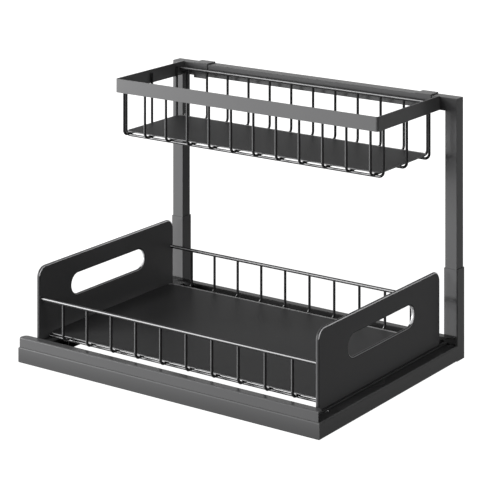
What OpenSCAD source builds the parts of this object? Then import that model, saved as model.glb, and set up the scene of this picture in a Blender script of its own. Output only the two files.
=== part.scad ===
// Two-tier under sink organizer in painted steel.
// A floor frame carries a rear arch. A lower basket pulls out towards the front on a roller
// carriage, and an upper basket hooks over the arch.
// Millimetres. X runs left to right, Y front to back, Z up. The origin is on the floor, in the
// middle of the footprint.

/* [Floor frame] */
// Outer width of the floor frame
frame_w = 400; // [370:1:430]
// Outer depth of the floor frame
frame_d = 300; // [280:1:340]
// Outer side of the square frame tube
tube = 17.5; // [17:0.5:20]
// Wall of the frame tube, the rails and the sleeves
tube_wall = 1.2; // [1:0.1:1.5]
// Outer corner radius of the frame tube
tube_r = 1.6; // [1.5:0.1:2.2]
// Height of the tops of the sleeves above the floor
sleeve_h = 102; // [60:1:150]

/* [Arch] */
// Clearance between a post and its sleeve, on each side
post_gap = 0.05; // [0.03:0.01:0.1]
// Height of the top of the arch above the floor
arch_h = 293; // [270:1:340]
// Wall of the arch tube
arch_wall = 1.2; // [0.8:0.1:1.6]
// Height of the lower ends of the posts above the floor
post_foot = 20; // [5:1:40]

/* [Strips of the carriage] */
// Height of the front and rear strips
strip_h = 10.6; // [8:0.2:12]
// Depth of a strip, front to back
strip_d = 10; // [8:0.5:12]
// Sheet thickness of a strip
strip_wall = 1.2; // [0.8:0.1:1.5]
// Radius of the two corners of a strip's flange that face the basket
strip_r = 6; // [3:0.5:7]
// Outer radius of the fold of a strip
strip_fold = 1.6; // [1.5:0.1:3]
// Distance of the ends of the strips inside the sides of the frame
strip_inset = 1.5; // [0.5:0.5:4]
// Distance of the front strip behind the front face of the frame
strip_setback = 0.4; // [0.2:0.1:2]
// Gap between a strip and the top of the frame
strip_lift = 0.4; // [0.3:0.1:0.5]
// Gap between the rear strip and the sleeves
strip_stop_gap = 1; // [0.5:0.1:3]

/* [Runners and rollers] */
// Thickness of the flange of a runner
runner_t = 2; // [1.5:0.1:2.5]
// Width of the flange of a runner
runner_w = 7.6; // [7:0.1:8.5]
// Gap between the underside of a runner and the top of its rail
runner_lift = 0.6; // [0.5:0.05:0.8]
// Thickness of the runner lips and the roller brackets
lip_t = 1.5; // [1:0.1:1.8]
// Gap between the roller brackets and the open side of the rails
bracket_gap = 0.6; // [0.4:0.05:1]
// Length of the weld between a roller bracket and its runner
bracket_l = 28; // [20:1:29]
// Clearance between a roller and what it runs on, at rest
roller_play = 0.35; // [0.2:0.05:0.5]
// Width of a roller
roller_w = 4.6; // [3:0.2:5]
// Clearance between a roller and the collars beside it
roller_side = 0.3; // [0.2:0.05:0.5]
// Diameter of the axle journals
axle_d = 4; // [3:0.1:5]
// Radial clearance of a roller on its axle
axle_gap = 0.05; // [0.03:0.01:0.1]
// Diameter of the collars and heads of the axles
collar_d = 7; // [6:0.1:8]
// Thickness of an axle head
head_t = 0.8; // [0.5:0.1:1]
// Distance of the front rollers behind the front face of the frame
front_roller_in = 32; // [28:1:40]
// Distance of the rear rollers ahead of the sleeves
rear_roller_in = 26.5; // [26:0.5:40]
// Travel of the carriage
travel = 180; // [100:5:180]
// Gap between a rear roller and its stop when the carriage is fully out
stop_gap = 1; // [0.3:0.1:3]
// Width of a stop tongue
stop_w = 9; // [5:0.5:11]
// Height of a stop tongue above the lower flange of its rail
stop_h = 9; // [7:0.5:12]

/* [Wires and trays] */
// Diameter of the thin basket wires
wire_d = 3; // [2.5:0.1:3.5]
// Diameter of the rim wires
rim_d = 4; // [3.5:0.1:5]
// Bend radius of a wire, at its centre line
bend_r = 6; // [5:0.5:8]
// Thickness of the tray sheets
tray_t = 1.2; // [0.8:0.1:2]
// Corner radius of the trays
tray_r = 8; // [3:1:15]

/* [Lower basket] */
// Distance of the side panels inside the sides of the frame
panel_inset = 12; // [11.6:0.1:13]
// Thickness of a side panel
panel_t = 4; // [2:0.2:5]
// Height of a side panel
panel_h = 84.1; // [75:1:120]
// Gap between the side panels and the strips
panel_gap = 6.4; // [3:0.2:12]
// Gap between the side panels and the runners that carry them
panel_lift = 0.3; // [0.2:0.05:0.4]
// Radius of the upper corners of a side panel
panel_top_r = 12; // [5:1:20]
// Radius of the lower corners of a side panel
panel_low_r = 4; // [1:0.5:6]
// Length of the handle slot
slot_l = 134; // [90:1:180]
// Height of the handle slot
slot_h = 23.5; // [18:0.5:28]
// Height of the middle of the handle slot above the lower edge of the panel
slot_up = 50; // [40:1:60]
// Number of wires that run front to back
lower_wires = 10; // [6:1:10]
// Distance of the outermost of those wires inside the side panels
lower_wire_in = 31; // [10:0.5:60]
// Distance of the front uprights behind the front edge of the panels
lower_front_in = 5.2; // [4:0.2:10]
// Distance of the rear uprights ahead of the rear edge of the panels
lower_rear_in = 4.1; // [4:0.1:10]
// Height of the front rim wire above the lower edge of the panels
lower_front_up = 48; // [30:1:60]
// Height of the rear rim wire above the lower edge of the panels
lower_rear_up = 51; // [30:1:60]
// Height of the underside of the long wires above the lower edge of the panels
lower_long_up = 2.1; // [1.8:0.1:5]
// Distance of the outer long wires inside the edges of the panels
lower_long_in = 18.6; // [14:0.2:40]
// Gap between the tray and the uprights in front of it and behind it
lower_tray_in = 7.5; // [7:0.5:15]
// Gap between the tray and the side panels
lower_tray_side = 4; // [0.5:0.5:10]

/* [Upper basket] */
// Outer width of the upper basket
upper_w = 359; // [350:1:361]
// Outer depth of the upper basket
upper_d = 133.5; // [110:0.5:160]
// Sideways place of the upper basket on the arch
upper_shift = -2.5; // [-2.5:0.5:2.5]
// Height of the top of the band above the arch
band_over = 1; // [0:0.2:3]
// Height of the band
band_h = 16; // [12:0.5:22]
// Thickness of the band
band_t = 1.5; // [1:0.1:2]
// Outer radius of the front corners of the band
band_r = 3; // [2.5:0.5:8]
// Height of the basket, from the top of the band to the underside of the wires
upper_h = 69.5; // [55:0.5:90]
// Number of wires that run front to back
upper_wires = 12; // [8:1:12]
// Distance of the outermost of those wires inside the ends of the band
upper_wire_in = 10.9; // [9.5:0.1:40]
// Distance of the wire ends below the top of the band
wire_end_down = 4; // [2:0.5:8]
// Distance of the rear uprights ahead of the rear ends of the band
upper_rear_in = 8.45; // [6:0.05:12]
// Distance of the middle of the rear rim wire below the top of the band
rim_down = 7; // [6:0.5:9]
// Distance of the front long wire behind the front uprights
upper_long_front = 14; // [10:0.5:20]
// Distance of the rear long wire ahead of the rear uprights
upper_long_rear = 9.5; // [9:0.5:20]
// Gap between the tray and the front uprights
upper_tray_front = 8.7; // [7:0.1:15]
// Gap between the tray and the rear uprights
upper_tray_rear = 7; // [6.5:0.5:15]
// Gap between the tray and the side uprights
upper_tray_side = 0.5; // [0.4:0.1:3]

/* [Hooks] */
// Distance of the middle of a hook inside the end of the band
hook_in = 23.5; // [17:0.5:80]
// Width of a hook
hook_w = 20; // [10:1:24]
// Sheet thickness of a hook
hook_t = 1.2; // [1:0.1:1.2]
// Clearance between a hook and the arch
hook_gap = 0.05; // [0.03:0.01:0.05]
// Reach of the front leaf of a hook below the arch bar
hook_low = 2.5; // [0:0.5:6]
// Length of the rear lip of a hook
hook_lip = 9; // [5:0.5:14]
// Gap between the arms of the band and the arch
hang_gap = 0.3; // [0.2:0.05:0.6]

/* [Hidden] */
$fn = 32;
eps = 1;

half_w = frame_w / 2;
half_d = frame_d / 2;
tube_in_r = max(tube_r - tube_wall, 0.3);
rail_inside = tube - 2 * tube_wall;

// Arch
post = rail_inside - 2 * post_gap;
post_r = tube_in_r + 0.1;
post_x = half_w - tube / 2;
post_y = half_d - tube / 2;
bar_front = post_y - post / 2;
bar_rear = post_y + post / 2;
bar_low = arch_h - post;

// Carriage
strip_z = tube + strip_lift;
strip_w = frame_w - 2 * strip_inset;
front_strip_y = -half_d + strip_setback;
basket_front_limit = front_strip_y + strip_d;
rear_strip_y = half_d - tube - strip_stop_gap - strip_d;
runner_y0 = front_strip_y + strip_wall;
runner_y1 = rear_strip_y + strip_d - strip_wall;
runner_z = tube + runner_lift;
runner_top = runner_z + runner_t;
bracket_out = half_w - tube - bracket_gap;
bracket_in = bracket_out - lip_t;

// Rollers
roller_d = rail_inside - 2 * roller_play;
axle_tip = half_w - tube;
roller_x = axle_tip + head_t + roller_side;
front_roller_y = -half_d + front_roller_in;
front_roller_z = runner_z - roller_play - roller_d / 2;
rear_roller_y = half_d - tube - rear_roller_in;
rear_roller_z = tube / 2;
stop_y = rear_roller_y - travel - roller_d / 2 - stop_gap;
window_gap = 0.8;
window_drop = tube - tube_wall - front_roller_z;
window_half = sqrt(pow(roller_d / 2, 2) - pow(window_drop, 2)) + window_gap;

// Lower basket
panel_out = half_w - panel_inset;
panel_in = panel_out - panel_t;
panel_z = runner_top + panel_lift;
panel_y0 = basket_front_limit + panel_gap;
panel_y1 = rear_strip_y - panel_gap;
lower_y0 = panel_y0 + lower_front_in;
lower_y1 = panel_y1 - lower_rear_in;
lower_long_z = panel_z + lower_long_up + wire_d / 2;
lower_run_z = lower_long_z + wire_d;
lower_pitch = 2 * (panel_in - lower_wire_in) / (lower_wires - 1);
lower_tray_z = lower_run_z + wire_d / 2;
lower_front_z = panel_z + lower_front_up;
lower_rear_z = panel_z + lower_rear_up;
lip_top = panel_z + lower_long_up - panel_lift;

// Upper basket
band_top = arch_h + band_over;
upper_y1 = bar_front - hang_gap;
upper_y0 = upper_y1 - upper_d;
upper_front_y = upper_y0 + band_t + wire_d / 2;
upper_rear_y = upper_y1 - upper_rear_in;
upper_long_z = band_top - upper_h + wire_d / 2;
upper_run_z = upper_long_z + wire_d;
upper_tray_z = upper_run_z + wire_d / 2;
upper_side_x = upper_w / 2 - band_t - wire_d / 2;
upper_pitch = (upper_w - 2 * upper_wire_in) / (upper_wires - 1);
hook_x = upper_w / 2 - hook_in;
wire_end_z = band_top - wire_end_down;
rim_z = band_top - rim_down;

// Finishes
frame_paint = [0.36, 0.36, 0.37];
strip_paint = [0.40, 0.40, 0.41];
panel_paint = [0.20, 0.20, 0.21];
wire_paint = [0.16, 0.16, 0.17];
tray_paint = [0.25, 0.25, 0.26];
band_paint = [0.50, 0.50, 0.51];
nylon = [0.18, 0.18, 0.18];
zinc = [0.70, 0.71, 0.72];

// A rectangle with round corners, centred on the origin.
module rounded_rect(size, r) {
    square([size[0] - 2 * r, size[1]], center = true);
    square([size[0], size[1] - 2 * r], center = true);
    for (x = [-1, 1], y = [-1, 1])
        translate([x * (size[0] / 2 - r), y * (size[1] / 2 - r)]) circle(r = r);
}

// The section of a square tube, centred on the origin.
module tube_section(side, wall, r) {
    difference() {
        rounded_rect([side, side], r);
        rounded_rect([side - 2 * wall, side - 2 * wall], max(r - wall, 0.3));
    }
}

// The section of a side rail: a channel that opens towards -X.
module rail_section() {
    difference() {
        union() {
            rounded_rect([tube, tube], tube_r);
            translate([-tube / 2, -tube / 2]) square([tube / 2, tube]);
        }
        translate([-tube_wall, 0]) rounded_rect([tube, rail_inside], tube_in_r);
    }
}

// Extrudes a section along X, centred, with the section's y axis upright.
module along_x(length) {
    rotate([90, 0, 90]) linear_extrude(length, center = true) children();
}

// Extrudes a section along Y, from y0 to y1, with the section's y axis upright.
module along_y(y0, y1) {
    translate([0, y1, 0]) rotate([90, 0, 0]) linear_extrude(y1 - y0) children();
}

// The right-hand piece, or its mirror image for the left side.
module on_side(side) {
    mirror([side < 0 ? 1 : 0, 0, 0]) children();
}

// A rod along X from x0 to x1.
module rod_x(x0, x1, d) {
    translate([x0, 0, 0]) rotate([0, 90, 0]) cylinder(h = x1 - x0, d = d);
}

// A wire bent to a U in the XZ plane: the run lies at height 0 and is centred on X = 0.
module u_wire(span, left_leg, right_leg, d) {
    run = span / 2 - bend_r;
    rod_x(-run, run, d);
    for (side = [-1, 1]) {
        leg = side < 0 ? left_leg : right_leg;
        on_side(side) translate([run, 0, bend_r]) {
            rotate([90, 0, 0]) rotate([0, 0, -90])
                rotate_extrude(angle = 90) translate([bend_r, 0]) circle(d = d);
            translate([bend_r, 0, 0]) cylinder(h = leg - bend_r, d = d);
        }
    }
}

// A flat sheet between y0 and y1, centred on X = 0.
module tray_sheet(width, y0, y1) {
    translate([0, (y0 + y1) / 2, 0]) linear_extrude(tray_t) rounded_rect([width, y1 - y0], tray_r);
}

// Floor frame

module front_rail() {
    color(frame_paint) intersection() {
        translate([0, -half_d + tube / 2, tube / 2]) along_x(frame_w) tube_section(tube, tube_wall, tube_r);
        translate([0, 0, -eps]) linear_extrude(tube + 2 * eps) polygon([
            [-half_w, -half_d], [half_w, -half_d],
            [half_w - tube, -half_d + tube], [-half_w + tube, -half_d + tube]
        ]);
    }
}

module side_rail(side) {
    color(frame_paint) on_side(side) difference() {
        union() {
            intersection() {
                translate([half_w - tube / 2, 0, tube / 2]) along_y(-half_d, half_d - tube) rail_section();
                translate([0, 0, -eps]) linear_extrude(tube + 2 * eps) polygon([
                    [half_w - tube, -half_d + tube], [half_w, -half_d],
                    [half_w, half_d - tube], [half_w - tube, half_d - tube]
                ]);
            }
            // Stop tongue for the rear roller, lanced up from the lower flange
            translate([roller_x, stop_y - tube_wall, tube_wall / 2])
                cube([stop_w, tube_wall, stop_h + tube_wall / 2]);
        }
        // Window for the front roller in the upper flange
        translate([half_w - tube - eps, front_roller_y - window_half, tube / 2])
            cube([roller_x + roller_w + window_gap - axle_tip + eps, 2 * window_half, tube / 2 + eps]);
    }
}

module rear_rail() {
    color(frame_paint) translate([0, half_d - tube / 2, tube / 2])
        along_x(frame_w - 2 * tube) tube_section(tube, tube_wall, tube_r);
}

module sleeve(side) {
    color(frame_paint) translate([side * post_x, post_y, 0])
        linear_extrude(sleeve_h) tube_section(tube, tube_wall, tube_r);
}

// Arch

module arch_post(side) {
    color(frame_paint) on_side(side) intersection() {
        translate([post_x, post_y, post_foot])
            linear_extrude(arch_h - post_foot) tube_section(post, arch_wall, post_r);
        along_y(bar_front - eps, bar_rear + eps) polygon([
            [post_x + post / 2, 0], [post_x + post / 2, arch_h],
            [post_x - post / 2, bar_low], [post_x - post / 2, 0]
        ]);
    }
}

module top_bar() {
    color(frame_paint) intersection() {
        translate([0, post_y, arch_h - post / 2])
            along_x(2 * post_x + post) tube_section(post, arch_wall, post_r);
        along_y(bar_front - eps, bar_rear + eps) polygon([
            [-post_x - post / 2, arch_h], [post_x + post / 2, arch_h],
            [post_x - post / 2, bar_low], [-post_x + post / 2, bar_low]
        ]);
    }
}

// Rollers and their axles

module front_axle(side) {
    color(zinc) on_side(side) translate([0, front_roller_y, front_roller_z]) {
        rod_x(axle_tip, axle_tip + head_t, collar_d);
        rod_x(axle_tip, half_w - tube_wall, axle_d);
        rod_x(roller_x + roller_w + roller_side, half_w - tube_wall, collar_d);
    }
}

module rear_axle(side) {
    color(zinc) on_side(side) translate([0, rear_roller_y, rear_roller_z]) {
        rod_x(bracket_in - head_t, bracket_in, collar_d);
        rod_x(bracket_in - head_t, roller_x + roller_w + roller_side + head_t, axle_d);
        rod_x(bracket_out, roller_x - roller_side, collar_d);
        rod_x(roller_x + roller_w + roller_side, roller_x + roller_w + roller_side + head_t, collar_d);
    }
}

// A moulded roller with a hub and a thinner web, its axis along X.
module roller() {
    hub_r = collar_d / 2 + 0.2;
    rim_r = roller_d / 2 - 1.4;
    web_in = roller_w / 4;
    edge = 0.4;
    rotate([0, 90, 0]) rotate_extrude() polygon([
        [axle_d / 2 + axle_gap, 0], [hub_r, 0], [hub_r, web_in], [rim_r, web_in], [rim_r, 0],
        [roller_d / 2 - edge, 0], [roller_d / 2, edge], [roller_d / 2, roller_w - edge],
        [roller_d / 2 - edge, roller_w], [rim_r, roller_w], [rim_r, roller_w - web_in],
        [hub_r, roller_w - web_in], [hub_r, roller_w], [axle_d / 2 + axle_gap, roller_w]
    ]);
}

module front_roller(side) {
    color(nylon) on_side(side) translate([roller_x, front_roller_y, front_roller_z]) roller();
}

module rear_roller(side) {
    color(nylon) on_side(side) translate([roller_x, rear_roller_y, rear_roller_z]) roller();
}

// Carriage

// The plan of a strip: its two corners at +Y are round.
module strip_plan(width, depth, r) {
    translate([-width / 2, 0]) square([width, depth - r]);
    translate([-width / 2 + r, 0]) square([width - 2 * r, depth]);
    intersection() {
        translate([-width / 2, 0]) square([width, depth]);
        for (x = [-1, 1]) translate([x * (width / 2 - r), depth - r]) circle(r = r);
    }
}

// The section of a strip: a sheet folded to an angle, with its wall at X = 0 and its flange on top.
module strip_section() {
    square([strip_wall, strip_h - strip_fold]);
    translate([strip_fold, strip_h - strip_wall]) square([strip_d - strip_fold, strip_wall]);
    intersection() {
        translate([0, strip_h - strip_fold]) square(strip_fold);
        translate([strip_fold, strip_h - strip_fold]) difference() {
            circle(r = strip_fold);
            circle(r = strip_fold - strip_wall);
        }
    }
}

// A folded strip with its wall at Y = 0 and its flange towards +Y.
module strip() {
    intersection() {
        along_x(strip_w) strip_section();
        translate([0, 0, -eps]) linear_extrude(strip_h + 2 * eps) strip_plan(strip_w, strip_d, strip_r);
    }
}

module drawer_front_strip() {
    color(strip_paint) translate([0, front_strip_y, strip_z]) strip();
}

module drawer_rear_strip() {
    color(strip_paint) translate([0, rear_strip_y + strip_d, strip_z]) mirror([0, 1, 0]) strip();
}

// A runner spans from the wall of the front strip to the wall of the rear strip.
module runner(side) {
    color(frame_paint) on_side(side) along_y(runner_y0, runner_y1) polygon([
        [bracket_in, runner_z], [bracket_in + runner_w, runner_z],
        [bracket_in + runner_w, runner_top], [bracket_out, runner_top],
        [bracket_out, lip_top], [bracket_in, lip_top]
    ]);
}

module roller_bracket(side) {
    boss_r = roller_d / 2 - 0.7;
    color(frame_paint) on_side(side) difference() {
        translate([(bracket_in + bracket_out) / 2, rear_roller_y, rear_roller_z]) along_x(lip_t) {
            circle(r = boss_r);
            polygon([
                [-bracket_l / 2, runner_z - rear_roller_z], [-boss_r, 0], [boss_r, 0],
                [bracket_l / 2, runner_z - rear_roller_z]
            ]);
        }
        translate([0, rear_roller_y, rear_roller_z]) rod_x(bracket_in - eps, bracket_out + eps, axle_d);
    }
}

// Lower basket

module panel(side) {
    length = panel_y1 - panel_y0;
    color(panel_paint) on_side(side)
        translate([(panel_in + panel_out) / 2, (panel_y0 + panel_y1) / 2, panel_z]) along_x(panel_t)
        difference() {
            union() {
                translate([0, panel_h / 2]) rounded_rect([length, panel_h], panel_top_r);
                translate([0, panel_h / 4]) rounded_rect([length, panel_h / 2], panel_low_r);
            }
            translate([0, slot_up]) {
                square([slot_l - slot_h, slot_h], center = true);
                for (end = [-1, 1]) translate([end * (slot_l - slot_h) / 2, 0]) circle(d = slot_h);
            }
        }
}

module lower_cross_wires() {
    color(wire_paint) difference() {
        for (i = [0 : lower_wires - 1])
            translate([(i - (lower_wires - 1) / 2) * lower_pitch, (lower_y0 + lower_y1) / 2, lower_run_z])
                rotate([0, 0, 90]) u_wire(
                    lower_y1 - lower_y0, lower_front_z - lower_run_z, lower_rear_z - lower_run_z, wire_d
                );
        translate([0, lower_y0, lower_front_z]) rod_x(-panel_in, panel_in, rim_d);
        translate([0, lower_y1, lower_rear_z]) rod_x(-panel_in, panel_in, rim_d);
    }
}

// A straight wire between the two side panels.
module panel_wire(y, z, d) {
    color(wire_paint) translate([0, y, z]) rod_x(-panel_in, panel_in, d);
}

module lower_tray() {
    color(tray_paint) translate([0, 0, lower_tray_z]) tray_sheet(
        2 * (panel_in - lower_tray_side),
        lower_y0 + lower_tray_in, lower_y1 - lower_tray_in
    );
}

// Upper basket

// The plan of the band's outside, or of its inside when it is drawn inset.
module band_plan(inset) {
    width = upper_w - 2 * inset;
    r = band_r - inset;
    depth = upper_d - inset;
    translate([-width / 2, upper_y0 + inset + r]) square([width, depth - r]);
    translate([-width / 2 + r, upper_y0 + inset]) square([width - 2 * r, depth]);
    for (x = [-1, 1]) translate([x * (width / 2 - r), upper_y0 + inset + r]) circle(r = r);
}

module upper_band() {
    color(band_paint) translate([upper_shift, 0, band_top - band_h]) difference() {
        linear_extrude(band_h) band_plan(0);
        translate([0, 0, -eps]) linear_extrude(band_h + 2 * eps) {
            band_plan(band_t);
            translate([-upper_w / 2 + band_t, upper_y1 - eps]) square([upper_w - 2 * band_t, 2 * eps]);
        }
    }
}

module upper_cross_wires() {
    color(wire_paint) difference() {
        for (i = [0 : upper_wires - 1])
            translate([
                upper_shift + (i - (upper_wires - 1) / 2) * upper_pitch,
                (upper_front_y + upper_rear_y) / 2, upper_run_z
            ]) rotate([0, 0, 90]) u_wire(
                upper_rear_y - upper_front_y, wire_end_z - upper_run_z, rim_z - upper_run_z, wire_d
            );
        translate([0, upper_rear_y, rim_z]) rod_x(-half_w, half_w, rim_d);
    }
}

// A long wire of the upper basket, with its ends turned up inside the arms of the band.
module upper_long_wire(y) {
    color(wire_paint) translate([upper_shift, y, upper_long_z])
        u_wire(2 * upper_side_x, wire_end_z - upper_long_z, wire_end_z - upper_long_z, wire_d);
}

module upper_rim_wire() {
    color(wire_paint) translate([upper_shift, upper_rear_y, rim_z])
        rod_x(-upper_w / 2 + band_t, upper_w / 2 - band_t, rim_d);
}

module upper_tray() {
    color(tray_paint) translate([upper_shift, 0, upper_tray_z]) tray_sheet(
        2 * (upper_side_x - wire_d / 2 - upper_tray_side),
        upper_front_y + upper_tray_front, upper_rear_y - upper_tray_rear
    );
}

// A bent strip that hooks over the arch bar and reaches forward to the rim wire.
module hook(side) {
    top = arch_h + hook_gap;
    front = bar_front - hook_gap;
    rear = bar_rear + hook_gap;
    color(wire_paint) difference() {
        translate([side * hook_x, 0, 0]) along_x(hook_w) {
            translate([front - hook_t, top]) square([rear - front + 2 * hook_t, hook_t]);
            translate([rear, top + hook_t - hook_lip]) square([hook_t, hook_lip]);
            translate([front - hook_t, bar_low - hook_low]) square([hook_t, top + hook_t - bar_low + hook_low]);
            translate([upper_rear_y, rim_z - hook_t / 2]) square([front - upper_rear_y, hook_t]);
        }
        translate([0, upper_rear_y, rim_z]) rod_x(-half_w, half_w, rim_d);
    }
}

front_rail();
side_rail(-1);  // left_side_rail
side_rail(1);  // right_side_rail
rear_rail();
sleeve(-1);  // left_sleeve
sleeve(1);  // right_sleeve
arch_post(-1);  // left_post
arch_post(1);  // right_post
top_bar();
front_axle(-1);  // left_front_axle
front_axle(1);  // right_front_axle
front_roller(-1);  // left_front_roller
front_roller(1);  // right_front_roller
drawer_front_strip();
drawer_rear_strip();
runner(-1);  // left_runner
runner(1);  // right_runner
roller_bracket(-1);  // left_roller_bracket
roller_bracket(1);  // right_roller_bracket
rear_axle(-1);  // left_rear_axle
rear_axle(1);  // right_rear_axle
rear_roller(-1);  // left_rear_roller
rear_roller(1);  // right_rear_roller
panel(-1);  // lower_left_panel
panel(1);  // lower_right_panel
lower_cross_wires();
panel_wire(panel_y0 + lower_long_in, lower_long_z, wire_d);  // lower_front_long_wire
panel_wire((panel_y0 + panel_y1) / 2, lower_long_z, wire_d);  // lower_middle_long_wire
panel_wire(panel_y1 - lower_long_in, lower_long_z, wire_d);  // lower_rear_long_wire
panel_wire(lower_y0, lower_front_z, rim_d);  // lower_front_rim_wire
panel_wire(lower_y1, lower_rear_z, rim_d);  // lower_rear_rim_wire
lower_tray();
upper_band();
upper_cross_wires();
upper_long_wire(upper_front_y + upper_long_front);  // upper_front_long_wire
upper_long_wire((upper_front_y + upper_long_front + upper_rear_y - upper_long_rear) / 2);  // upper_middle_long_wire
upper_long_wire(upper_rear_y - upper_long_rear);  // upper_rear_long_wire
upper_rim_wire();
upper_tray();
hook(-1);  // left_hook
hook(1);  // right_hook
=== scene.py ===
"""Looks of a two-tier under sink organizer: painted steel tubes, welded wire baskets, nylon rollers."""

import math

import bmesh
import bpy
from bpy.props import FloatProperty, FloatVectorProperty, IntProperty, PointerProperty
from mathutils import Matrix, Vector


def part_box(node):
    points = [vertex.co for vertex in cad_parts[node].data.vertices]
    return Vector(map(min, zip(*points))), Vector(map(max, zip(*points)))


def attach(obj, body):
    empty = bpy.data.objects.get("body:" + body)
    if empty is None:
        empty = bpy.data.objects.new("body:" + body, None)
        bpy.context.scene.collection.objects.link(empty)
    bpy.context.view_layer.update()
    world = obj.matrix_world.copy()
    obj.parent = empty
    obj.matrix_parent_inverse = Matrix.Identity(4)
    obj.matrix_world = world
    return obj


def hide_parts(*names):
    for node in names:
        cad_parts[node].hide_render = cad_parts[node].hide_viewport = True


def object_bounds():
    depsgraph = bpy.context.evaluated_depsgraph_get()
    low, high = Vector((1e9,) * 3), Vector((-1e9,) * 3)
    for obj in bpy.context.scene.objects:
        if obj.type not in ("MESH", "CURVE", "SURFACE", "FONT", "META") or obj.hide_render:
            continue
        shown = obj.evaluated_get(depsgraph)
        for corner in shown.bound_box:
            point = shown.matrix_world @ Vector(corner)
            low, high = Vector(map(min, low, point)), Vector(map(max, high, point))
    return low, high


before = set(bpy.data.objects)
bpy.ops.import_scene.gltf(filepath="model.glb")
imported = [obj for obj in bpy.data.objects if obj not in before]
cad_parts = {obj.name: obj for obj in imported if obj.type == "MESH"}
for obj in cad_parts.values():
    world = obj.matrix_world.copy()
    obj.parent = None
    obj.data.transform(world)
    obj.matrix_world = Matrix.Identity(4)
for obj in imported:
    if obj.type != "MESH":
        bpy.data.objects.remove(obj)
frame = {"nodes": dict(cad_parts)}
CAD_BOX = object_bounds()

bl_info = {
    "name": "Under Sink Organizer",
    "version": (1, 0, 0),
    "blender": (4, 5, 0),
    "location": "View3D > Sidebar > Organizer",
    "description": "Dresses a two-tier under sink organizer in painted steel, wire and nylon",
    "category": "Object",
}

MM = 0.001


# Sizes and colours


class OrganizerSizes(bpy.types.PropertyGroup):
    """Sizes of the finish that the frame does not hold."""

    tube_edge: FloatProperty(
        name="Tube edge", description="Radius of the cut edges of the sleeves, band, runners and hooks",
        default=0.25 * MM, min=0.05 * MM, max=0.5 * MM, unit="LENGTH",
    )
    tube_corner: FloatProperty(
        name="Tube corner", description="Corner radius of the rails and sleeves that the welds fill",
        default=1.6 * MM, min=0.5 * MM, max=3 * MM, unit="LENGTH",
    )
    foot_edge: FloatProperty(
        name="Foot edge", description="Radius of the lower edge of the sleeves",
        default=0.9 * MM, min=0.1 * MM, max=1.2 * MM, unit="LENGTH",
    )
    weld_margin: FloatProperty(
        name="Weld margin", description="Distance of a ground weld below the rail's upper face",
        default=0.45 * MM, min=0.1 * MM, max=1 * MM, unit="LENGTH",
    )
    roller_edge: FloatProperty(
        name="Roller edge", description="Radius of the edges of the rollers and axles",
        default=0.2 * MM, min=0.05 * MM, max=0.3 * MM, unit="LENGTH",
    )
    panel_edge: FloatProperty(
        name="Panel edge", description="Radius of the rolled edges of the side panels",
        default=1.9 * MM, min=0.2 * MM, max=1.9 * MM, unit="LENGTH",
    )
    strip_edge: FloatProperty(
        name="Strip edge", description="Radius of the cut edges of the carriage strips",
        default=0.3 * MM, min=0.1 * MM, max=0.5 * MM, unit="LENGTH",
    )
    tray_edge: FloatProperty(
        name="Tray edge", description="Radius of the edges of the tray sheets",
        default=0.5 * MM, min=0.1 * MM, max=0.55 * MM, unit="LENGTH",
    )
    # The lip is a ring inside a tray's edge; along the rear edge it has a painted highlight.
    tray_lip: FloatProperty(
        name="Tray lip", description="Width of the worn lip along a tray's rear edge",
        default=3 * MM, min=1 * MM, max=6 * MM, unit="LENGTH",
    )
    tray_corner: FloatProperty(
        name="Tray corner", description="Corner radius of the tray sheets",
        default=8 * MM, min=1 * MM, max=20 * MM, unit="LENGTH",
    )
    panel_top_corner: FloatProperty(
        name="Panel upper corner", description="Radius of the upper corners of the side panels",
        default=12 * MM, min=2 * MM, max=30 * MM, unit="LENGTH",
    )
    panel_low_corner: FloatProperty(
        name="Panel lower corner", description="Radius of the lower corners of the side panels",
        default=4 * MM, min=1 * MM, max=10 * MM, unit="LENGTH",
    )
    slot_length: FloatProperty(
        name="Slot length", description="Length of the handle slots",
        default=134 * MM, min=60 * MM, max=200 * MM, unit="LENGTH",
    )
    slot_height: FloatProperty(
        name="Slot height", description="Height of the handle slots",
        default=23.5 * MM, min=15 * MM, max=30 * MM, unit="LENGTH",
    )
    slot_rise: FloatProperty(
        name="Slot rise", description="Height of the slot's middle above the panel's lower edge",
        default=50 * MM, min=30 * MM, max=70 * MM, unit="LENGTH",
    )
    bend: FloatProperty(
        name="Wire bend", description="Bend radius of a wire at its centre line",
        default=6 * MM, min=3 * MM, max=12 * MM, unit="LENGTH",
    )
    weld: FloatProperty(
        name="Weld", description="Radius of a spot weld between two wires",
        default=1.15 * MM, min=0.5 * MM, max=2 * MM, unit="LENGTH",
    )
    wire_sides: IntProperty(
        name="Wire sides", description="Sides of a wire's section", default=24, min=8, max=32,
    )


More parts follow.
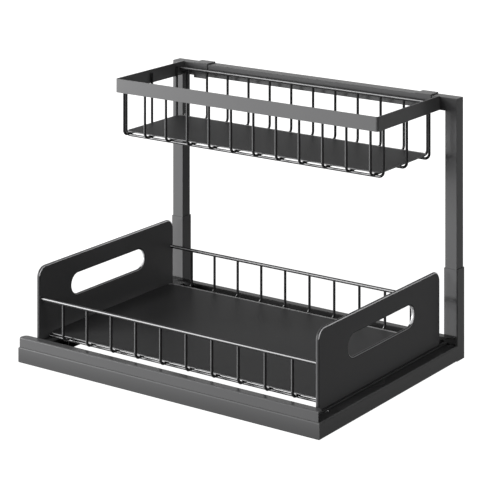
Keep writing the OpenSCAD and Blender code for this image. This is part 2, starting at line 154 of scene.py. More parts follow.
class OrganizerColours(bpy.types.PropertyGroup):
    """Colours of the finishes, as linear values."""

    frame: FloatVectorProperty(
        name="Frame", description="Paint of the floor frame, the arch, the runners and the hooks",
        default=(0.15, 0.15, 0.152), size=3, min=0, max=1, subtype="COLOR",
    )
    # The strip, band and panel are in the frame's one paint: the strip's colour is set darker as painted
    # shade, and the band's and the panels' lighter as painted light.
    strip: FloatVectorProperty(
        name="Strips", description="Paint of the carriage strips",
        default=(0.135, 0.135, 0.137), size=3, min=0, max=1, subtype="COLOR",
    )
    band: FloatVectorProperty(
        name="Band", description="Paint of the upper basket's band",
        default=(0.172, 0.172, 0.174), size=3, min=0, max=1, subtype="COLOR",
    )
    panel: FloatVectorProperty(
        name="Panels", description="Paint of the lower basket's side panels",
        default=(0.165, 0.165, 0.168), size=3, min=0, max=1, subtype="COLOR",
    )
    tray: FloatVectorProperty(
        name="Trays", description="Paint of the tray sheets",
        default=(0.048, 0.048, 0.049), size=3, min=0, max=1, subtype="COLOR",
    )
    wire: FloatVectorProperty(
        name="Wires", description="Paint of the wires",
        default=(0.045, 0.045, 0.046), size=3, min=0, max=1, subtype="COLOR",
    )
    nylon: FloatVectorProperty(
        name="Nylon", description="Moulded nylon of the rollers",
        default=(0.03, 0.03, 0.031), size=3, min=0, max=1, subtype="COLOR",
    )
    zinc: FloatVectorProperty(
        name="Zinc", description="Zinc plate of the axles",
        default=(0.3, 0.305, 0.31), size=3, min=0, max=1, subtype="COLOR",
    )


class OrganizerStage(bpy.types.PropertyGroup):
    """Camera and light."""

    azimuth: FloatProperty(
        name="Azimuth", description="Turn of the camera to the right of the front",
        default=math.radians(34.954), subtype="ANGLE",
    )
    place: FloatVectorProperty(
        name="Place", description="Place of the lens",
        default=(1.2952, -1.8380, 0.7676), size=3, subtype="XYZ", unit="LENGTH",
    )
    rise: FloatProperty(
        name="Rise", description="Rise of the film over its distance, which keeps uprights upright",
        default=0.28664,
    )
    lens: FloatProperty(
        name="Lens", description="Focal length along the level line of sight, in millimetres",
        default=144.63, min=20, max=300,
    )
    film: FloatProperty(
        name="Film", description="Width of the film, in millimetres", default=36, min=10, max=100,
    )
    key_power: FloatProperty(
        name="Key light", description="Power of the soft light at the left", default=52, unit="POWER",
    )
    upper_power: FloatProperty(
        name="Upper light", description="Power of the light above the key light", default=14,
        unit="POWER",
    )
    front_power: FloatProperty(
        name="Front light", description="Power of the small light in front", default=7, unit="POWER",
    )
    right_power: FloatProperty(
        name="Right light", description="Power of the soft light at the right", default=3.3,
        unit="POWER",
    )
    rear_power: FloatProperty(
        name="Rear light", description="Power of the soft light behind", default=3, unit="POWER",
    )
    ambient: FloatProperty(
        name="Ambient", description="Strength of the white surroundings as light", default=0.03,
        min=0, max=1,
    )


# Shader maths


class Socket:
    """A shader socket that takes part in Python expressions. Each operation adds a Math node."""

    def __init__(self, graph, socket):
        self.graph = graph
        self.socket = socket

    def _math(self, operation, first, second):
        return self.graph.add("ShaderNodeMath", {"operation": operation}, {0: first, 1: second})[0]

    def __add__(self, other):
        return self._math("ADD", self, other)

    def __radd__(self, other):
        return self._math("ADD", other, self)

    def __sub__(self, other):
        return self._math("SUBTRACT", self, other)

    def __rsub__(self, other):
        return self._math("SUBTRACT", other, self)

    def __mul__(self, other):
        return self._math("MULTIPLY", self, other)

    def __rmul__(self, other):
        return self._math("MULTIPLY", other, self)

    def at_least(self, other):
        """The larger of two values."""
        return self._math("MAXIMUM", self, other)


class Graph:
    """The node tree of one material or world."""

    def __init__(self, owner):
        owner.use_nodes = True
        self.tree = owner.node_tree
        self.tree.nodes.clear()

    def plug(self, target, value):
        """Sets a socket to a number or colour, or links it."""
        if isinstance(value, Socket):
            self.tree.links.new(value.socket, target)
        else:
            target.default_value = value

    def add(self, kind, settings=None, inputs=None):
        """Adds a node with its settings and inputs, and returns its outputs, wrapped."""
        node = self.tree.nodes.new(kind)
        for name, value in (settings or {}).items():
            setattr(node, name, value)
        for name, value in (inputs or {}).items():
            self.plug(node.inputs[name], value)
        return [Socket(self, out) for out in node.outputs]

    def where(self):
        """Object coordinates."""
        return self.add("ShaderNodeTexCoord")[3]

    def mix(self, factor, first, second):
        """Mixes two colours."""
        inputs = {0: factor, 6: first, 7: second}
        return self.add("ShaderNodeMix", {"data_type": "RGBA"}, inputs)[2]

    def noise(self, where, scale, detail):
        """Noise from 0 to 1 at a scale given in features per metre."""
        inputs = {"Vector": where, "Scale": scale, "Detail": detail}
        return self.add("ShaderNodeTexNoise", {}, inputs)[0]

    def smooth_rise(self, value, start, end, low=0.0, high=1.0):
        """Rises smoothly from low to high while a value goes from start to end."""
        inputs = {0: value, 1: start, 2: end, 3: low, 4: high}
        return self.add("ShaderNodeMapRange", {"interpolation_type": "SMOOTHSTEP"}, inputs)[0]

    def bump(self, height, strength, distance):
        """Normals that lean by a height from 0 to 1 over a distance."""
        inputs = {"Strength": strength, "Distance": distance, "Height": height}
        return self.add("ShaderNodeBump", {}, inputs)[0]

    def seen(self):
        """1 where a ray comes from the eye, a reflection or a clear surface, and 0 where it lights."""
        path = self.add("ShaderNodeLightPath")
        camera, glossy, transmission = path[0], path[3], path[6]
        return camera.at_least(glossy).at_least(transmission)

    def end(self, shader, output="ShaderNodeOutputMaterial"):
        """Leads a shader to the output."""
        self.add(output, {}, {"Surface": shader})


def rgba(colour, gain=1.0):
    """A colour with full alpha, made lighter or darker."""
    return (*[min(1.0, c * gain) for c in colour], 1.0)


# Materials

# Face layer that paints light and shade into the colour: 1 for a painted highlight, 0 for the plain
# colour, and -1 for painted shade. Its marks are chosen so that the edges have the light and
# dark lines of the photograph, and they stay on their faces in every view and light.
LIGHT_SHADE_LAYER = "thin_coat"

# Share of the clouds in the tone of a coat, the rest being specks, and the tones it lies between
CLOUD_SHARE = 0.55
DARK_CLOUD, LIGHT_CLOUD = 0.9, 1.1
# Height of the specks as a share of the orange peel's
SPECK_HEIGHT = 0.4
# Height above the floor below which the frame's colour darkens as painted shade, as the photograph
# shades it there
FLOOR_SHADE_HEIGHT = 30 * MM
# Share of the colour that is left in painted shade, and the tint of a painted highlight
PAINTED_SHADE_SHARE = 0.12
HIGHLIGHT_TINT = (1.0, 1.0, 1.01)
# How far the roughness of a coat varies
ROUGHNESS_SPREAD = 0.08


def powder_coat(name, colour, roughness, specular, highlight_tone, floor_shade=1.0, sheen=0.0):
    """Baked powder coat: an even colour with slight clouds, fine orange peel and a soft gloss.

    highlight_tone is the tone of a painted highlight, floor_shade the share of the colour that is left
    at the floor as painted shade, and worn the share of bright steel mixed into a painted highlight as a
    painted sheen.
    Where the face layer is below zero, the colour darkens as painted shade.
    """
    material = bpy.data.materials.new(name)
    graph = Graph(material)
    where = graph.where()
    clouds = graph.noise(where, scale=9.0, detail=3.0)
    peel = graph.noise(where, scale=900.0, detail=2.0)
    specks = graph.noise(where, scale=2600.0, detail=1.0)
    tone = clouds * CLOUD_SHARE + specks * (1.0 - CLOUD_SHARE)
    base = graph.mix(tone, rgba(colour, DARK_CLOUD), rgba(colour, LIGHT_CLOUD))
    # Painted shade: the colour darkens towards the floor
    if floor_shade < 1.0:
        height = graph.add("ShaderNodeSeparateXYZ", {}, {0: where})[2]
        base = graph.mix(graph.smooth_rise(height, 0.0, FLOOR_SHADE_HEIGHT), rgba(colour, floor_shade), base)
    # Painted light and shade from the face layer: lighter towards the highlight tone above zero, darker
    # below zero
    thin = graph.add("ShaderNodeAttribute", {"attribute_name": LIGHT_SHADE_LAYER})[2]
    base = graph.mix(thin, base, rgba(HIGHLIGHT_TINT, highlight_tone))
    base = graph.mix(0.0 - thin, base, rgba(colour, PAINTED_SHADE_SHARE))
    graph.end(graph.add("ShaderNodeBsdfPrincipled", {}, {
        "Base Color": base,
        "Roughness": roughness + (clouds - 0.5) * ROUGHNESS_SPREAD,
        "Specular IOR Level": specular,
        # Painted sheen: bright steel mixed into the painted highlights
        "Metallic": thin.at_least(0.0) * sheen,
        "Normal": graph.bump(peel + specks * SPECK_HEIGHT, strength=0.05, distance=0.05 * MM),
    })[0])
    return material


# For nylon and zinc: the tones between which their marks lie, the least roughness and its spread
DARK_FLOW, LIGHT_FLOW = 0.88, 1.04
NYLON_ROUGHNESS, NYLON_SPREAD = 0.38, 0.12
DARK_PATCH, LIGHT_PATCH = 0.82, 1.05
ZINC_ROUGHNESS, ZINC_SPREAD = 0.26, 0.18


def moulded_nylon(name, colour):
    """Milky nylon with faint flow marks."""
    material = bpy.data.materials.new(name)
    graph = Graph(material)
    where = graph.where()
    flow = graph.noise(where, scale=260.0, detail=3.0)
    pits = graph.noise(where, scale=3000.0, detail=1.0)
    graph.end(graph.add("ShaderNodeBsdfPrincipled", {}, {
        "Base Color": graph.mix(flow, rgba(colour, DARK_FLOW), rgba(colour, LIGHT_FLOW)),
        "Roughness": NYLON_ROUGHNESS + flow * NYLON_SPREAD,
        "Specular IOR Level": 0.5,
        "Normal": graph.bump(pits, strength=0.15, distance=0.05 * MM),
    })[0])
    return material


def zinc_plate(name, colour):
    """Zinc-plated steel with fine turning marks and dull patches."""
    material = bpy.data.materials.new(name)
    graph = Graph(material)
    where = graph.where()
    patches = graph.noise(where, scale=420.0, detail=3.0)
    turning = graph.add("ShaderNodeTexWave", {"bands_direction": "X"}, {
        "Vector": where, "Scale": 1200.0, "Distortion": 0.6,
    })[1]
    graph.end(graph.add("ShaderNodeBsdfPrincipled", {}, {
        "Base Color": graph.mix(patches, rgba(colour, DARK_PATCH), rgba(colour, LIGHT_PATCH)),
        "Metallic": 1.0,
        "Roughness": ZINC_ROUGHNESS + patches * ZINC_SPREAD,
        "Normal": graph.bump(turning, strength=0.2, distance=0.03 * MM),
    })[0])
    return material


# For each of the record's slots: how its material is made, the name of its colour, and its settings
FINISHES = {
    "frame_paint": (powder_coat, "frame", {
        "roughness": 0.26, "specular": 0.07, "highlight_tone": 0.25, "floor_shade": 0.6,
    }),
    "strip_paint": (powder_coat, "strip", {"roughness": 0.2, "specular": 0.08, "highlight_tone": 0.3}),
    "band_paint": (powder_coat, "band", {"roughness": 0.34, "specular": 0.09, "highlight_tone": 0.3}),
    "panel_paint": (powder_coat, "panel", {
        "roughness": 0.4, "specular": 0.04, "highlight_tone": 0.8, "sheen": 0.3,
    }),
    "tray_paint": (powder_coat, "tray", {
        "roughness": 0.5, "specular": 0.05, "highlight_tone": 0.4, "sheen": 0.2,
    }),
    "wire_paint": (powder_coat, "wire", {"roughness": 0.3, "specular": 0.03, "highlight_tone": 0.8}),
    "roller_nylon": (moulded_nylon, "nylon", {}),
    "axle_zinc": (zinc_plate, "zinc", {}),
}
made_finishes = {}


def finish_of(slot):
    """The material of a slot, made when a piece first asks for it."""
    if slot not in made_finishes:
        maker, colour, settings = FINISHES[slot]
        colours = bpy.context.scene.organizer_colours
        made_finishes[slot] = maker(slot, getattr(colours, colour), **settings)
    return made_finishes[slot]


# Mesh making

# Vertices nearer than this become one, in a new piece and in the copy of a CAD node
MERGE = 0.002 * MM
CAD_MERGE = 0.005 * MM
# Angle up to which two faces of a CAD node are one flat face
FLAT_ANGLE = math.radians(0.5)
# Angle up to which two faces share their shading
SMOOTH_ANGLE = math.radians(35)
# Slack with which a vertex counts as lying on a side of its piece's box
NEAR = 0.1 * MM
# A plate's round corner has a segment for each such stretch of its radius, and at least four
CORNER_STEP = 0.6 * MM
CORNER_SEGMENTS = 4
# Share of a face's normal along a direction from which the face looks that way
LOOKS = 0.5
# The same for a face that lies flat, and for one on the long corner of a rail
LOOKS_FLAT = 0.9
LOOKS_ARRIS = 0.85


def light_shade_layer(bm):
    """The face layer that holds the painted light and shade."""
    return bm.faces.layers.float.get(LIGHT_SHADE_LAYER) or bm.faces.layers.float.new(LIGHT_SHADE_LAYER)


def close_mesh(bm):
    """Merges doubles and turns the faces outwards."""
    bmesh.ops.remove_doubles(bm, verts=bm.verts, dist=MERGE)
    bmesh.ops.recalc_face_normals(bm, faces=bm.faces)
    bm.normal_update()


def area_normals(bm):
    """Shading normals weighted by area, so flat faces stay flat next to rounded edges."""
    crease = math.cos(SMOOTH_ANGLE)
    areas = {face: face.calc_area() for face in bm.faces}
    normals = []
    for face in bm.faces:
        for loop in face.loops:
            total = Vector()
            for other in loop.vert.link_faces:
                if face.normal.dot(other.normal) > crease:
                    total += other.normal * areas[other]
            normals.append(total.normalized())
    return normals


def place_piece(bm, name, body, slot, node):
    """Turns a bmesh into a finished piece that rides on a body and stands for its CAD node."""
    close_mesh(bm)
    normals = area_normals(bm)
    mesh = bpy.data.meshes.new(name)
    bm.to_mesh(mesh)
    bm.free()
    mesh.shade_smooth()
    mesh.normals_split_custom_set(normals)
    mesh.materials.append(finish_of(slot))
    piece = bpy.data.objects.new(name, mesh)
    bpy.context.scene.collection.objects.link(piece)
    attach(piece, body)
    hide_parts(node)


def sharp_edges(bm, angle=30.0):
    """The edges between faces that meet at more than an angle in degrees."""
    limit = math.radians(angle)
    return [e for e in bm.edges if len(e.link_faces) == 2 and e.calc_face_angle(0.0) > limit]


def square_edges(bm):
    """The edges between faces that meet nearly square."""
    return sharp_edges(bm, 60.0)


def round_edges(bm, edges, radius, segments=3, coat=0.0):
    """Rounds the given edges, gives them a value of painted light and shade and returns their faces."""
    layer = light_shade_layer(bm)
    made = bmesh.ops.bevel(
        bm, geom=edges, offset=radius, offset_type="OFFSET", affect="EDGES", segments=segments,
        profile=0.5, material=-1, clamp_overlap=True,
    )["faces"]
    for face in made:
        face[layer] = coat
    return made


def cad_mesh(node):
    """A bmesh of a CAD node with its triangles merged."""
    bm = bmesh.new()
    bm.from_mesh(frame["nodes"][node].data)
    light_shade_layer(bm)
    bmesh.ops.remove_doubles(bm, verts=bm.verts, dist=CAD_MERGE)
    bmesh.ops.dissolve_limit(
        bm, angle_limit=FLAT_ANGLE, verts=bm.verts, edges=bm.edges, use_dissolve_boundaries=False,
    )
    return bm


def dressed(node, body, slot, radius=0.0, segments=3, coat=0.0, arris=None, arris_highlight=0.0):
    """A copy of a CAD node with its cut edges rounded.

    coat is the painted light and shade on the whole piece, and arris_highlight the painted highlight on
    the long corner which faces along arris.
    """
    bm = cad_mesh(node)
    layer = light_shade_layer(bm)
    # Painted light and shade on the whole piece
    for face in bm.faces:
        face[layer] = coat
    if radius:
        round_edges(bm, sharp_edges(bm), radius, segments, coat)
    # Painted highlight on the long corner that faces along arris
    if arris:
        layer = light_shade_layer(bm)
        bm.normal_update()
        for face in bm.faces:
            if face.normal.dot(Vector(arris).normalized()) > LOOKS_ARRIS:
                face[layer] = arris_highlight
    place_piece(bm, node + "_dressed", body, slot, node)


def box_piece(bm, low, high):
    """A box between two corners."""
    made = bmesh.ops.create_cube(bm, size=1.0)["verts"]
    bmesh.ops.scale(bm, vec=[high[i] - low[i] for i in range(3)], verts=made)
    bmesh.ops.translate(bm, vec=[(high[i] + low[i]) / 2 for i in range(3)], verts=made)


def even_corners(radius):
    """The same radius for all four corners of a plate."""
    return {(x, y): radius for x in (-1, 1) for y in (-1, 1)}


def corner_plate(bm, size, corners, matrix):
    """A flat face in the XY plane with round corners, which matrix then places.

    corners maps a corner's signs to its radius.
    """
    made = bmesh.ops.create_grid(bm, x_segments=1, y_segments=1, size=0.5)["verts"]
    bmesh.ops.scale(bm, verts=made, vec=(size[0], size[1], 1.0))
    for signs, radius in corners.items():
        corner = [v for v in made if v.co.x * signs[0] > 0 and v.co.y * signs[1] > 0]
        rounded = bmesh.ops.bevel(
            bm, geom=corner, offset=radius, offset_type="OFFSET", affect="VERTICES",
            segments=max(CORNER_SEGMENTS, round(radius / CORNER_STEP)), profile=0.5, material=-1,
        )["verts"]
        made = list(dict.fromkeys(v for v in made + rounded if v.is_valid))
    bmesh.ops.transform(bm, matrix=matrix, verts=made)


def only(kind, geometry):
    """The elements of one kind."""
    return [g for g in geometry if isinstance(g, kind)]


def thicken(bm, way):
    """Gives flat faces a thickness along a vector."""
    grown = bmesh.ops.extrude_face_region(bm, geom=list(bm.faces), use_keep_orig=True)["geom"]
    bmesh.ops.translate(bm, vec=way, verts=only(bmesh.types.BMVert, grown))
    bmesh.ops.recalc_face_normals(bm, faces=bm.faces)


class Sweep:
    """A round section that is drawn along straights and bends."""

    def __init__(self, bm, start, direction, radius, sides):
        turn = Vector((0, 0, 1)).rotation_difference(Vector(direction)).to_matrix().to_4x4()
        made = bmesh.ops.create_circle(
            bm, cap_ends=False, radius=radius, segments=sides, matrix=Matrix.Translation(start) @ turn,
        )["verts"]
        self.bm = bm
        self.ring = list({e for v in made for e in v.link_edges})
        bmesh.ops.contextual_create(bm, geom=self.ring)

    def straight(self, way):
        """Draws the section along a vector."""
        made = bmesh.ops.extrude_edge_only(self.bm, edges=self.ring)["geom"]
        bmesh.ops.translate(self.bm, vec=way, verts=only(bmesh.types.BMVert, made))
        self.ring = only(bmesh.types.BMEdge, made)

    def turn(self, centre, axis, angle, steps=8):
        """Turns the section about an axis through a centre."""
        verts = list({v for e in self.ring for v in e.verts})
        made = bmesh.ops.spin(
            self.bm, geom=self.ring + verts, cent=centre, axis=axis, angle=angle, steps=steps,
            use_merge=False, use_duplicate=False,
        )["geom_last"]
        self.ring = only(bmesh.types.BMEdge, made)

    def end(self):
        """Closes the last end."""
        bmesh.ops.contextual_create(self.bm, geom=self.ring)


# Pieces


def sizes():
    """The size settings of this scene."""
    return bpy.context.scene.organizer_sizes


def middle_of(node):
    """The middle of a node's box."""
    low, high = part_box(node)
    return (low + high) / 2


def sleeve_piece(side, outward):
    """A sleeve with a rounded mouth, and with its butt welds to the two rails ground flush."""
    node = side + "_sleeve"
    s = sizes()
    low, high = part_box(node)
    middle = (low + high) / 2
    bm = cad_mesh(node)
    mouth = [e for e in sharp_edges(bm) if min(v.co.z for v in e.verts) > high.z - NEAR]
    round_edges(bm, mouth, s.tube_edge)
    foot = [
        e for e in square_edges(bm)
        if max(v.co.z for v in e.verts) < low.z + NEAR and any(
            min(v.co.x - low.x, high.x - v.co.x, v.co.y - low.y, high.y - v.co.y) < NEAR
            for v in e.verts
        )
    ]
    round_edges(bm, foot, s.foot_edge)
    weld_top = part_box("rear_rail")[1].z - s.weld_margin
    outer, inner = (high.x, low.x) if outward > 0 else (low.x, high.x)
    for x, y in ((outer, low.y), (inner, high.y)):
        xs = sorted((x, x - math.copysign(s.tube_corner, x - middle.x)))
        ys = sorted((y, y - math.copysign(s.tube_corner, y - middle.y)))
        box_piece(bm, (xs[0], ys[0], low.z), (xs[1], ys[1], weld_top))
    place_piece(bm, node + "_dressed", "base", "frame_paint", node)


# For each rail, where its long corner faces and how strong the painted highlight on that corner is
RAIL_ARRIS_HIGHLIGHTS = {
    "front_rail": ((0, -1, 1), 0.2),
    "rear_rail": ((0, -1, 1), 0.7),
    "left_side_rail": ((-1, 0, 1), 0.7),
    "right_side_rail": ((1, 0, 1), 0.7),
}


class ORGANIZER_OT_floor_frame(bpy.types.Operator):
    """Dress the rails and sleeves of the floor frame"""

    bl_idname = "organizer.floor_frame"
    bl_label = "Floor frame"

    def execute(self, context):
        for node, (arris, coat) in RAIL_ARRIS_HIGHLIGHTS.items():
            dressed(node, "base", "frame_paint", arris=arris, arris_highlight=coat)
        for side, outward in (("left", -1), ("right", 1)):
            sleeve_piece(side, outward)
        return {"FINISHED"}


class ORGANIZER_OT_arch(bpy.types.Operator):
    """Dress the posts and the bar of the arch"""

    bl_idname = "organizer.arch"
    bl_label = "Arch"

    def execute(self, context):
        for node in ("left_post", "right_post", "top_bar"):
            dressed(node, "base", "frame_paint")
        return {"FINISHED"}


# Steps in which an edge of a strip is rounded
STRIP_SEGMENTS = 4
# Painted shade on the rear strip, which keeps the gap behind the tray as dark as in the photograph
REAR_STRIP_SHADE = -0.8


class ORGANIZER_OT_carriage(bpy.types.Operator):
    """Dress the strips, runners and brackets of the pull-out carriage"""

    bl_idname = "organizer.carriage"
    bl_label = "Carriage"

    def execute(self, context):
        s = sizes()
        for node, coat in (("drawer_front_strip", 0.0), ("drawer_rear_strip", REAR_STRIP_SHADE)):
            dressed(node, "drawer", "strip_paint", s.strip_edge, STRIP_SEGMENTS, coat)
        for side in ("left", "right"):
            dressed(side + "_runner", "drawer", "frame_paint", s.tube_edge)
            dressed(side + "_roller_bracket", "drawer", "frame_paint", s.tube_edge)
        return {"FINISHED"}


class ORGANIZER_OT_rollers(bpy.types.Operator):
    """Dress the rollers and their axles"""

    bl_idname = "organizer.rollers"
    bl_label = "Rollers"

    def execute(self, context):
        s = sizes()
        for side in ("left", "right"):
            for end, body in (("front", "base"), ("rear", "drawer")):
                roller = f"{side}_{end}_roller"
                dressed(roller, roller, "roller_nylon", s.roller_edge)
                dressed(f"{side}_{end}_axle", body, "axle_zinc", s.roller_edge)
        return {"FINISHED"}


# Steps in which an edge of a side panel is rolled
PANEL_SEGMENTS = 5
# End radius of a slot as a share of its height, just under a half so that the two corners stay apart
SLOT_END = 0.4999
# How far a face may lie outside a slot and still belong to its edge, counted on both sides
SLOT_REACH = 8 * MM
# Normals along X past which a roll has almost reached the right or the left flat face
ROLL_RIGHT, ROLL_LEFT = 0.95, -0.84
# Normals along X and Z past which a face is on the upper right shoulder of a roll
SHOULDER_RIGHT, SHOULDER_UP = 0.6, 0.1
# Painted light and shade on a roll, each matched: a painted highlight at the slot's rear end, painted
# shade beside the flat faces, painted highlights on the shoulder and on the slot's shoulder, and painted
# shade on top and in front
SLOT_END_HIGHLIGHT = 1.0
ROLL_SHADE = -0.9
SHOULDER_HIGHLIGHT = 1.0
SLOT_SHOULDER_HIGHLIGHT = 0.4
TOP_SHADE = -0.75
FRONT_SHADE = -0.2


def rolled_light_shade(normal, at_slot):
    """The painted light and shade on a face of a panel's rolled edge."""
    if at_slot and normal.y < -LOOKS:
        return SLOT_END_HIGHLIGHT
    if normal.x > ROLL_RIGHT or normal.x < ROLL_LEFT:
        return ROLL_SHADE
    if normal.x > SHOULDER_RIGHT and normal.z > SHOULDER_UP:
        return SLOT_SHOULDER_HIGHLIGHT if at_slot else SHOULDER_HIGHLIGHT
    if normal.z > LOOKS:
        return TOP_SHADE
    if normal.y < -LOOKS:
        return FRONT_SHADE
    return 0.0


def side_panel(side):
    """One side panel: a plate with round corners, a handle slot and rolled edges."""
    node = f"lower_{side}_panel"
    s = sizes()
    low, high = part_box(node)
    middle = (low + high) / 2
    slot_z = low.z + s.slot_rise
    stand = Matrix(((0, 0, 1, low.x), (1, 0, 0, middle.y), (0, 1, 0, 0), (0, 0, 0, 1)))
    bm = bmesh.new()
    corner_plate(bm, (high.y - low.y, high.z - low.z), {
        (1, 1): s.panel_top_corner, (-1, 1): s.panel_top_corner,
        (1, -1): s.panel_low_corner, (-1, -1): s.panel_low_corner,
    }, Matrix.Translation((0, 0, middle.z)) @ stand)
    corner_plate(
        bm, (s.slot_length, s.slot_height), even_corners(s.slot_height * SLOT_END),
        Matrix.Translation((0, 0, slot_z)) @ stand,
    )
    loops = [e for e in bm.edges if e.is_boundary]
    bmesh.ops.delete(bm, geom=list(bm.faces), context="FACES_ONLY")
    bmesh.ops.bridge_loops(bm, edges=loops)
    thicken(bm, (high.x - low.x, 0, 0))
    rolled = round_edges(bm, square_edges(bm), s.panel_edge, PANEL_SEGMENTS)
    bmesh.ops.recalc_face_normals(bm, faces=bm.faces)
    bm.normal_update()
    # Painted highlights and painted shade on the rolled edges
    layer = light_shade_layer(bm)
    for face in rolled:
        centre = face.calc_center_median()
        outside = max(
            abs(centre.y - middle.y) * 2 - s.slot_length, abs(centre.z - slot_z) * 2 - s.slot_height,
        )
        face[layer] = rolled_light_shade(face.normal, outside < SLOT_REACH)
    place_piece(bm, f"{side}_side_panel", "lower_basket", "panel_paint", node)


# Painted highlight on a tray's edges and on the lip along its rear edge
TRAY_EDGE_HIGHLIGHT = 0.7
TRAY_LIP_HIGHLIGHT = 1.0


def tray_sheet(node, body):
    """A tray: a thin sheet with round corners, with painted highlights on its edges and on a lip at the
    rear.
    """
    low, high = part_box(node)
    s = sizes()
    bm = bmesh.new()
    corner_plate(
        bm, (high.x - low.x, high.y - low.y), even_corners(s.tray_corner),
        Matrix.Translation(((low.x + high.x) / 2, (low.y + high.y) / 2, low.z)),
    )
    thicken(bm, (0, 0, high.z - low.z))
    round_edges(bm, square_edges(bm), s.tray_edge, coat=TRAY_EDGE_HIGHLIGHT)
    bm.normal_update()
    top = max((f for f in bm.faces if f.normal.z > LOOKS_FLAT), key=lambda f: f.calc_area())
    ring = bmesh.ops.inset_region(bm, faces=[top], thickness=s.tray_lip, use_even_offset=True)["faces"]
    # Painted highlight on the lip along the rear edge
    layer = light_shade_layer(bm)
    for face in ring:
        at_rear = face.calc_center_median().y > high.y - 2 * s.tray_lip
        face[layer] = TRAY_LIP_HIGHLIGHT if at_rear else 0.0
    place_piece(bm, node + "_sheet", body, "tray_paint", node)


# Number of wires that run front to back in each basket
LOWER_WIRES = 10
UPPER_WIRES = 12
# Where the painted highlights of the wires lie: the direction to which their faces look, where the
# highlight starts, how fast it grows, and how far
HIGHLIGHT_CROWNS = {
    "long": (Vector((0, -0.92, 0.38)).normalized(), 0.95, 24.0, 1.0),
    "upright": (Vector((-0.75, -0.66, 0.0)), 0.6, 1.0, 0.25),
    "bend": (Vector((-0.3, -0.6, 0.75)).normalized(), 0.9, 12.0, 1.0),
}
# Painted highlight on top of the front bends, and how far behind a bend that reaches
FRONT_BEND_HIGHLIGHT = 0.8
BEND_REACH = 2 * MM
# Shape of a spot weld between two wires
CROSSING_WELD = (1.15, 1.15, 0.8)
# Shape of the weld at a wire's end, its radius as a share of the wire, and its depth in the wire
END_WELD = (0.35, 1, 1)
END_WELD_SHARE = 0.62
END_WELD_DEPTH = 0.3 * MM


def crown_highlight(normal, crown):
    """The painted highlight on a face of a wire, by how squarely it looks to a crown's direction."""
    direction, start, gain, most = HIGHLIGHT_CROWNS[crown]
    return min(most, max(0.0, (normal.dot(direction) - start) * gain))


def paint_crown_highlight(bm):
    """Paints a highlight along the crown of a wire that runs along X."""
    close_mesh(bm)
    layer = light_shade_layer(bm)
    for face in bm.faces:
        face[layer] = crown_highlight(face.normal, "long")


def wire_radius():
    """The radius of the thin wires."""
    low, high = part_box("lower_front_long_wire")
    return (high.z - low.z) / 2


def u_wire(bm, low, high, tops):
    """A thin wire bent to a U: down one side, along the bottom and up the other side.

    low and high are the ends of the bottom run's centre line, before it is bent up, and tops are the
    heights of the two ends.
    """
    s = sizes()
    run = Vector(high) - Vector(low)
    along = run.length
    run.normalize()
    up = Vector((0, 0, 1))
    axis = up.cross(run)
    start = Vector(low)
    start.z = tops[0]
    sweep = Sweep(bm, start, -up, wire_radius(), s.wire_sides)
    sweep.straight(up * (low[2] + s.bend - tops[0]))
    sweep.turn(Vector(low) + (run + up) * s.bend, axis, -math.pi / 2)
    sweep.straight(run * (along - 2 * s.bend))
    sweep.turn(Vector(high) + (up - run) * s.bend, axis, -math.pi / 2)
    sweep.straight(up * (tops[1] - high[2] - s.bend))
    sweep.end()


def weld_spot(bm, centre, radius, flat):
    """A small bead of weld metal under the paint, flattened by a share in each direction."""
    made = bmesh.ops.create_icosphere(bm, subdivisions=1, radius=radius)["verts"]
    bmesh.ops.scale(bm, vec=flat, verts=made)
    bmesh.ops.translate(bm, vec=centre, verts=made)


def straight_wire(node, body, welded):
    """A straight wire along X, whose ends may be welded to the side panels."""
    low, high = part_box(node)
    centre = (low + high) / 2
    thickness = high.z - low.z
    bm = bmesh.new()
    start = (low.x, centre.y, centre.z)
    rod = Sweep(bm, start, (1, 0, 0), thickness / 2, sizes().wire_sides)
    rod.straight((high.x - low.x, 0, 0))
    rod.end()
    if welded:
        for x in (low.x + END_WELD_DEPTH, high.x - END_WELD_DEPTH):
            weld_spot(bm, (x, centre.y, centre.z), thickness * END_WELD_SHARE, END_WELD)
    paint_crown_highlight(bm)
    place_piece(bm, node + "_drawn", body, "wire_paint", node)


def turned_up_wire(node, body):
    """A long wire along X with both ends turned up."""
    low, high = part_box(node)
    radius = wire_radius()
    y, z = (low.y + high.y) / 2, low.z + radius
    bm = bmesh.new()
    u_wire(bm, (low.x + radius, y, z), (high.x - radius, y, z), (high.z, high.z))
    paint_crown_highlight(bm)
    place_piece(bm, node + "_bent", body, "wire_paint", node)


def wire_lines(node, count):
    """Where the wires of a group lie along X, from the group's box."""
    low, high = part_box(node)
    first, last = low.x + wire_radius(), high.x - wire_radius()
    return [first + (last - first) * i / (count - 1) for i in range(count)]


def cross_wires(node, body, count, tops, front, rear, crossings):
    """The wires of a basket that run front to back, with a spot weld wherever they cross another.

    tops are the heights of their two ends, front and rear the places of their uprights along Y, and
    crossings those of the long wires.
    """
    s = sizes()
    radius = wire_radius()
    run_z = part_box(node)[0].z + radius
    bm = bmesh.new()
    for x in wire_lines(node, count):
        u_wire(bm, (x, front, run_z), (x, rear, run_z), tops)
        for y in crossings:
            weld_spot(bm, (x, y, run_z - radius), s.weld, CROSSING_WELD)
    close_mesh(bm)
    # Painted highlights on the front bends, the front uprights, and the rest of the bends and uprights
    layer = light_shade_layer(bm)
    bend_rear = front + s.bend + BEND_REACH
    bend_top = run_z + s.bend
    for face in bm.faces:
        centre, normal = face.calc_center_median(), face.normal
        if centre.y < bend_rear and centre.z < bend_top and normal.z > LOOKS:
            face[layer] = FRONT_BEND_HIGHLIGHT
        elif centre.y < front + radius and centre.z > bend_top:
            face[layer] = crown_highlight(normal, "upright")
        elif centre.z > run_z + radius:
            face[layer] = crown_highlight(normal, "bend")
    place_piece(bm, node + "_drawn", body, "wire_paint", node)


